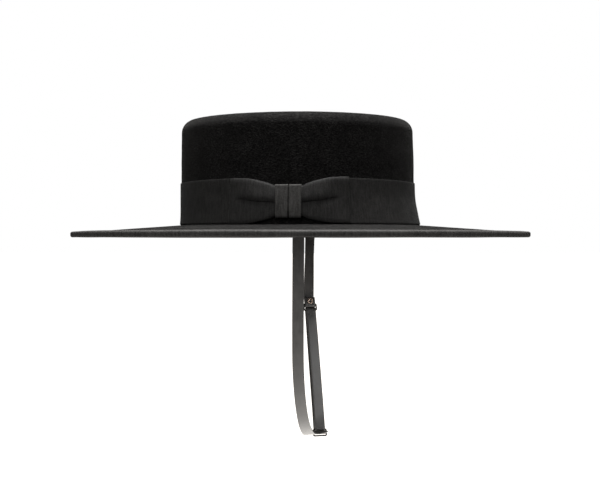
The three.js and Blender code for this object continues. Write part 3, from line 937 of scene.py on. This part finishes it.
# A station is a point of the strap's centre line and the direction of its width
def ladderStation(up, back):
    run = adjuster["spacing"] - 2 * adjuster["tailTab"]
    share = min(max((up - adjuster["tailTab"]) / run, 0), 1)
    twist = math.radians(adjuster["twist"]) * 4 * share * (1 - share)
    across = ladderAcross * math.cos(twist) + ladderBack * math.sin(twist)
    away = ladderBack * math.cos(twist) - ladderAcross * math.sin(twist)
    return slideCentre + ladderUp * up + away * back, across


def hangingStation(point, turn):
    angle = math.radians(strap["turn"] * turn)
    return Vector(point), Vector((math.cos(angle), math.sin(angle), 0))


def wrap(up, radius, start, end, steps):
    turns = [math.radians(start + (end - start) * i / steps) for i in range(steps + 1)]
    return [ladderStation(up + radius * math.sin(a), radius * math.cos(a)) for a in turns]


def tailStations(side):
    stations = []
    for share in (1, 2 / 3, 1 / 3, 0):
        z = feltSizes["openingFillet"] + share * (strap["tail"] - feltSizes["openingFillet"])
        height = (z - hat["crownBase"]) / hat["crownHeight"]
        y = side * (anchorAcross - hat["crownLean"] * readRows(wallRows, height, sides))
        stations.append(hangingStation((strap["offset"], y, z), 0))
    return stations


# An even, smooth route through chosen stations
def smoothRoute(stations, steps):
    points = [point for point, across in stations]
    points = [2 * points[0] - points[1], *points, 2 * points[-1] - points[-2]]
    route = []
    for i in range(steps + 1):
        share = i / steps * (len(stations) - 1)
        low = min(int(share), len(stations) - 2)
        t = share - low
        p0, p1, p2, p3 = points[low:low + 4]
        d0, d1, d2 = [math.sqrt((b - a).length) for a, b in ((p0, p1), (p1, p2), (p2, p3))]
        start = ((p1 - p0) / d0 - (p2 - p0) / (d0 + d1) + (p2 - p1) / d1) * d1
        end = ((p2 - p1) / d1 - (p3 - p1) / (d1 + d2) + (p3 - p2) / d2) * d1
        point = p1 + start * t
        point += (3 * (p2 - p1) - 2 * start - end) * t**2
        point += (2 * (p1 - p2) + start + end) * t**3
        route.append((point, stations[low][1].lerp(stations[low + 1][1], t)))
    return route


# Bends a flat strap, which runs along y from 0, to a route of stations
def bendAlong(bm, route, lengths):
    for v in bm.verts:
        at = min(max(v.co.y, 0), lengths[-1])
        low = max(i for i in range(len(lengths) - 1) if lengths[i] <= at)
        share = (v.co.y - lengths[low]) / (lengths[low + 1] - lengths[low])

        def crossAt(i):
            along = (route[min(i + 1, len(route) - 1)][0] - route[max(i - 1, 0)][0]).normalized()
            across = (route[i][1] - along * route[i][1].dot(along)).normalized()
            return across, along.cross(across)

        acrossLow, outLow = crossAt(low)
        acrossHigh, outHigh = crossAt(low + 1)
        centre = route[low][0].lerp(route[low + 1][0], share)
        v.co = centre + acrossLow.lerp(acrossHigh, share) * v.co.x + outLow.lerp(outHigh, share) * v.co.z


def addStrap(name, node, route):
    lengths = [0.0]
    for (a, _), (b, _) in zip(route, route[1:]):
        lengths.append(lengths[-1] + (b - a).length)
    print(name, round(lengths[-1], 1), "mm along its centre line")
    bm = bmesh.new()
    bmesh.ops.create_grid(bm, x_segments=6, y_segments=len(route) - 1, size=0.5)
    for v in bm.verts:
        row = round((v.co.y + 0.5) * (len(route) - 1))
        v.co = (v.co.x * strap["width"], lengths[row], -strap["thickness"] / 2)
    thicken(bm, strap["thickness"])
    bmesh.ops.recalc_face_normals(bm, faces=bm.faces)
    roundRims(bm, strap["edge"])
    weaveFlat(bm, alongAxis=1)
    bendAlong(bm, route, lengths)
    bmesh.ops.recalc_face_normals(bm, faces=bm.faces)
    return addPiece(bm, name, [node], leather)


def addLongStrap():
    slideBar = barSpacing / 2
    ringBar = adjuster["spacing"] - barSpacing / 2
    passRadius = wrapRadius + strap["thickness"] + 3 * hat["gap"]
    tab = adjuster["tailTab"]
    hanging = [
        hangingStation(
            (strap["offset"] + sway * strap["sway"], across * anchorAcross, -drop * strap["drop"]), turn
        )
        for across, drop, sway, turn in nearLegRows
    ]
    nearLeg = smoothRoute([
        *tailStations(-1),
        *hanging,
        ladderStation(slideBar - passRadius + hat["gap"], -2.5 * passRadius),
        ladderStation(slideBar - passRadius, 0),
    ], 110)
    back = smoothRoute([
        ladderStation(slideBar + tab / 2, passRadius),
        ladderStation(slideBar + tab * 2, passRadius - strap["thickness"]),
        ladderStation(ringBar - tab * 2, wrapRadius),
        ladderStation(ringBar - tab / 2, wrapRadius),
    ], 40)
    front = smoothRoute([
        ladderStation(ringBar - tab / 2, -wrapRadius),
        ladderStation(ringBar - tab * 2, -wrapRadius),
        ladderStation(slideBar + tab * 2, -wrapRadius),
        ladderStation(slideBar + tab / 2, -wrapRadius),
    ], 40)
    return addStrap("strapLong", "strap_long", [
        *nearLeg,
        *wrap(slideBar, passRadius, adjuster["entry"], 0, 8),
        *back,
        *wrap(ringBar, wrapRadius, 0, 180, 16),
        *front,
        *wrap(slideBar, wrapRadius, 180, 360, 16),
        ladderStation(slideBar + tab, wrapRadius),
    ])


def addShortStrap():
    bar = adjuster["spacing"] + barSpacing / 2
    foot = ladderStation(bar + adjuster["tab"] + strap["thickness"], wrapRadius)
    top = Vector((strap["offset"] + strap["farOffset"], anchorAcross, 0))
    hanging = [
        hangingStation(top.lerp(foot[0], share) + Vector((0, sag, 0)), turn)
        for share, sag, turn in farLegRows
    ]
    farLeg = smoothRoute([*tailStations(1), *hanging, foot], 60)
    return addStrap("strapShort", "strap_short", [
        *farLeg,
        *wrap(bar - adjuster["foldDrop"], wrapRadius, 0, -180, 16),
        ladderStation(bar + adjuster["tab"], -wrapRadius),
    ])


addLongStrap()
shortStrap = addShortStrap()


# Places a piece made flat, x across, y up and z forward, on the adjuster
def layOnLadder(bm, centre):
    for v in bm.verts:
        v.co = centre + ladderAcross * v.co.x + ladderUp * v.co.y - ladderBack * v.co.z


# A wire ring: a round section swept round four corners
def addRing(name, node, centre):
    halfWidth = strap["width"] / 2 + adjuster["sideGap"] + adjuster["wire"] / 2
    halfHeight = adjuster["height"] / 2 - adjuster["wire"] / 2
    corner = adjuster["corner"] - adjuster["wire"] / 2 + adjuster["cornerEase"]
    upright = Matrix.Rotation(math.radians(90), 3, "X")
    bm = bmesh.new()
    ring = bmesh.ops.create_circle(bm, segments=14, radius=adjuster["wire"] / 2, cap_ends=False)["verts"]
    bmesh.ops.rotate(bm, cent=(0, 0, 0), matrix=upright, verts=ring)
    bmesh.ops.translate(bm, vec=(halfWidth, -halfHeight + corner, 0), verts=ring)
    strip = list(bm.edges)
    corners = [(1, 1), (-1, 1), (-1, -1), (1, -1)]
    for i, (signX, signY) in enumerate(corners):
        centreX, centreY = signX * (halfWidth - corner), signY * (halfHeight - corner)
        run = 2 * (halfHeight - corner) if i % 2 == 0 else 2 * (halfWidth - corner)
        heading = [(0, 1, 0), (-1, 0, 0), (0, -1, 0), (1, 0, 0)][i]
        made = bmesh.ops.extrude_edge_only(bm, edges=strip)["geom"]
        bmesh.ops.translate(bm, vec=Vector(heading) * run, verts=onlyVerts(made))
        strip = onlyEdges(made)
        made = bmesh.ops.spin(
            bm, geom=strip, cent=(centreX, centreY, 0), axis=(0, 0, 1), angle=math.pi / 2, steps=8
        )["geom_last"]
        strip = onlyEdges(made)
    bmesh.ops.remove_doubles(bm, verts=bm.verts, dist=1e-3)
    bmesh.ops.recalc_face_normals(bm, faces=bm.faces)
    layOnLadder(bm, centre)
    bmesh.ops.recalc_face_normals(bm, faces=bm.faces)
    return addPiece(bm, name, [node], gunmetal)


addRing("adjusterRing", "adjuster_ring", ringCentre)
addRing("adjusterSlide", "adjuster_slide", slideCentre)

eyelet = {"rise": 2.8, "flange": 2.9, "barrel": 1.3, "hole": 0.9, "plate": 0.5, "turns": 40}


# Punches the eyelet's hole through both layers of the folded strap
def punchHole(piece, radius, centre):
    bm = bmesh.new()
    bmesh.ops.create_cone(
        bm, cap_ends=True, segments=32, radius1=radius, radius2=radius, depth=6 * wrapRadius
    )
    layOnLadder(bm, centre)
    bmesh.ops.scale(bm, vec=(mm, mm, mm), verts=bm.verts)
    bmesh.ops.recalc_face_normals(bm, faces=bm.faces)
    mesh = bpy.data.meshes.new("punch")
    bm.to_mesh(mesh)
    bm.free()
    punch = bpy.data.objects.new("punch", mesh)
    bpy.context.scene.collection.objects.link(punch)
    cut = piece.modifiers.new("hole", "BOOLEAN")
    cut.operation = "DIFFERENCE"
    cut.object = punch
    bpy.context.view_layer.update()
    punched = bpy.data.meshes.new_from_object(
        piece.evaluated_get(bpy.context.evaluated_depsgraph_get())
    )
    piece.modifiers.remove(cut)
    piece.data = punched
    bpy.data.objects.remove(punch)


def addEyelet():
    centre = ringCentre + ladderUp * (barSpacing / 2 + eyelet["rise"])
    punchHole(shortStrap, eyelet["barrel"] + hat["gap"] / 3, centre)
    front = wrapRadius + strap["thickness"] / 2 + hat["gap"] / 2
    roll = eyelet["plate"]
    half = [
        (eyelet["hole"], front - 0.4),
        *arc(eyelet["hole"] + roll * 1.1, front, roll * 1.1, 180, 90, 5),
        *arc(eyelet["flange"] - roll * 0.5, front + roll * 0.5, roll * 0.5, 60, -90, 5),
        (eyelet["barrel"], front - 0.05),
    ]
    outline = [*half, *[(radius, -height) for radius, height in reversed(half)]]
    bm = spinOutline(outline, eyelet["turns"])
    uv = bm.loops.layers.uv.new("rolled")
    for face in bm.faces:
        for loop in face.loops:
            loop[uv].uv = (loop.vert.co.xy.length, loop.vert.co.z)
    layOnLadder(bm, centre)
    bmesh.ops.recalc_face_normals(bm, faces=bm.faces)
    return addPiece(bm, "strapEyelet", ["eyelet"], copper)


addEyelet()
print("strap buckled")

# The studio. The lamps: where each stands, its size and its power
lamps = {
    "overhead": ((0.04, -0.02, 1.4), 0.7, 112.0),
    "frontSoftbox": ((-0.5, -2.15, 0.85), 1.4, 21.0),
}

# The narrow light from the right that reaches the strap below the brim
kicker = {
    "place": (1.5, -1.05, 0.35),
    "aim": (0.015, 0.06, -0.13),
    "power": 54.0,
    "size": 0.12,
    "cone": 8.0,
}

studio = {
    "floorLevel": -0.36,
    "floorSize": 60.0,
    "cameraAway": 1.1,
    "cameraTurn": 3.4,
    "cameraHeight": -0.0103,
    "focalPixels": 1196.0,
    "brightest": (0.0, -0.22, 0.97),
    "skyLight": 1.0,
    "floorDim": 0.30,
    "floorBright": 3.6,
    "floorSeen": 1.2,
    "poolY": 0.08,
    "poolReach": (0.1, 0.55),
    "floorWarmth": (1.0, 0.965, 0.92, 1),
}


def placeLamp(light, power, place, aim):
    light.energy = power
    lamp = bpy.data.objects.new(light.name, light)
    lamp.location = place
    lamp.rotation_euler = (Vector(aim) - Vector(place)).to_track_quat("-Z", "Y").to_euler()
    bpy.context.scene.collection.objects.link(lamp)


def addStudio():
    bm = bmesh.new()
    bmesh.ops.create_grid(bm, x_segments=1, y_segments=1, size=studio["floorSize"] / 2)
    bmesh.ops.translate(bm, vec=(0, 0, studio["floorLevel"]), verts=bm.verts)
    mesh = bpy.data.meshes.new("studioFloor")
    bm.to_mesh(mesh)
    bm.free()
    material, tree, shader = newFinish(
        "paleFloor", Base_Color=(0.05, 0.05, 0.05, 1), Roughness=0.9, Emission_Color=studio["floorWarmth"]
    )
    # The floor glows: a painted pool of light round poolY that fades to floorDim further out, with
    # floorSeen added for camera rays so that it looks white
    pool = (0, studio["poolY"], studio["floorLevel"])
    place = addNode(tree, "TexCoord").outputs["Object"]
    away = addNode(tree, "VectorMath", {0: place, 1: pool}, operation="DISTANCE").outputs["Value"]
    glow = stretchTo(tree, away, *studio["poolReach"], studio["floorBright"], studio["floorDim"])
    seen = addNode(tree, "LightPath").outputs["Is Camera Ray"]
    glow = calculate(tree, "ADD", glow, calculate(tree, "MULTIPLY", seen, studio["floorSeen"]))
    tree.links.new(glow, shader.inputs["Emission Strength"])
    mesh.materials.append(material)
    floor = bpy.data.objects.new("studioFloor", mesh)
    bpy.context.scene.collection.objects.link(floor)

    world = bpy.data.worlds.new("whiteStudio")
    world.use_nodes = True
    bpy.context.scene.world = world
    tree = world.node_tree
    background = tree.nodes["Background"]
    direction = addNode(tree, "TexCoord").outputs["Generated"]
    towards = addNode(tree, "VectorMath", {0: direction, 1: studio["brightest"]}, operation="DOT_PRODUCT")
    share = stretchTo(tree, towards.outputs["Value"], -0.1, 0.95)
    strength = calculate(tree, "MULTIPLY", calculate(tree, "POWER", share, 2.0), studio["skyLight"])
    seen = addNode(tree, "LightPath").outputs["Is Camera Ray"]
    tree.links.new(calculate(tree, "MAXIMUM", strength, seen), background.inputs["Strength"])
    background.inputs["Color"].default_value = (1, 1, 1, 1)

    for name, (place, size, power) in lamps.items():
        light = bpy.data.lights.new(name, "AREA")
        light.shape = "DISK"
        light.size = size
        placeLamp(light, power, place, (0, 0, 0))

    spot = bpy.data.lights.new("kicker", "SPOT")
    spot.spot_size = math.radians(kicker["cone"])
    spot.spot_blend = 0.5
    spot.shadow_soft_size = kicker["size"]
    placeLamp(spot, kicker["power"], kicker["place"], kicker["aim"])


def addCamera():
    camera = bpy.data.objects.new("camera", bpy.data.cameras.new("camera"))
    turn = math.radians(studio["cameraTurn"])
    camera.location = (
        studio["cameraAway"] * math.sin(turn),
        -studio["cameraAway"] * math.cos(turn),
        studio["cameraHeight"],
    )
    camera.rotation_euler = (math.pi / 2, 0, turn)
    camera.data.sensor_width = 36
    camera.data.lens = 36 * studio["focalPixels"] / 600
    camera.data.clip_end = 100
    bpy.context.scene.collection.objects.link(camera)
    bpy.context.scene.camera = camera


addStudio()
addCamera()
bpy.context.scene.view_settings.view_transform = "Standard"
print("studio lit")
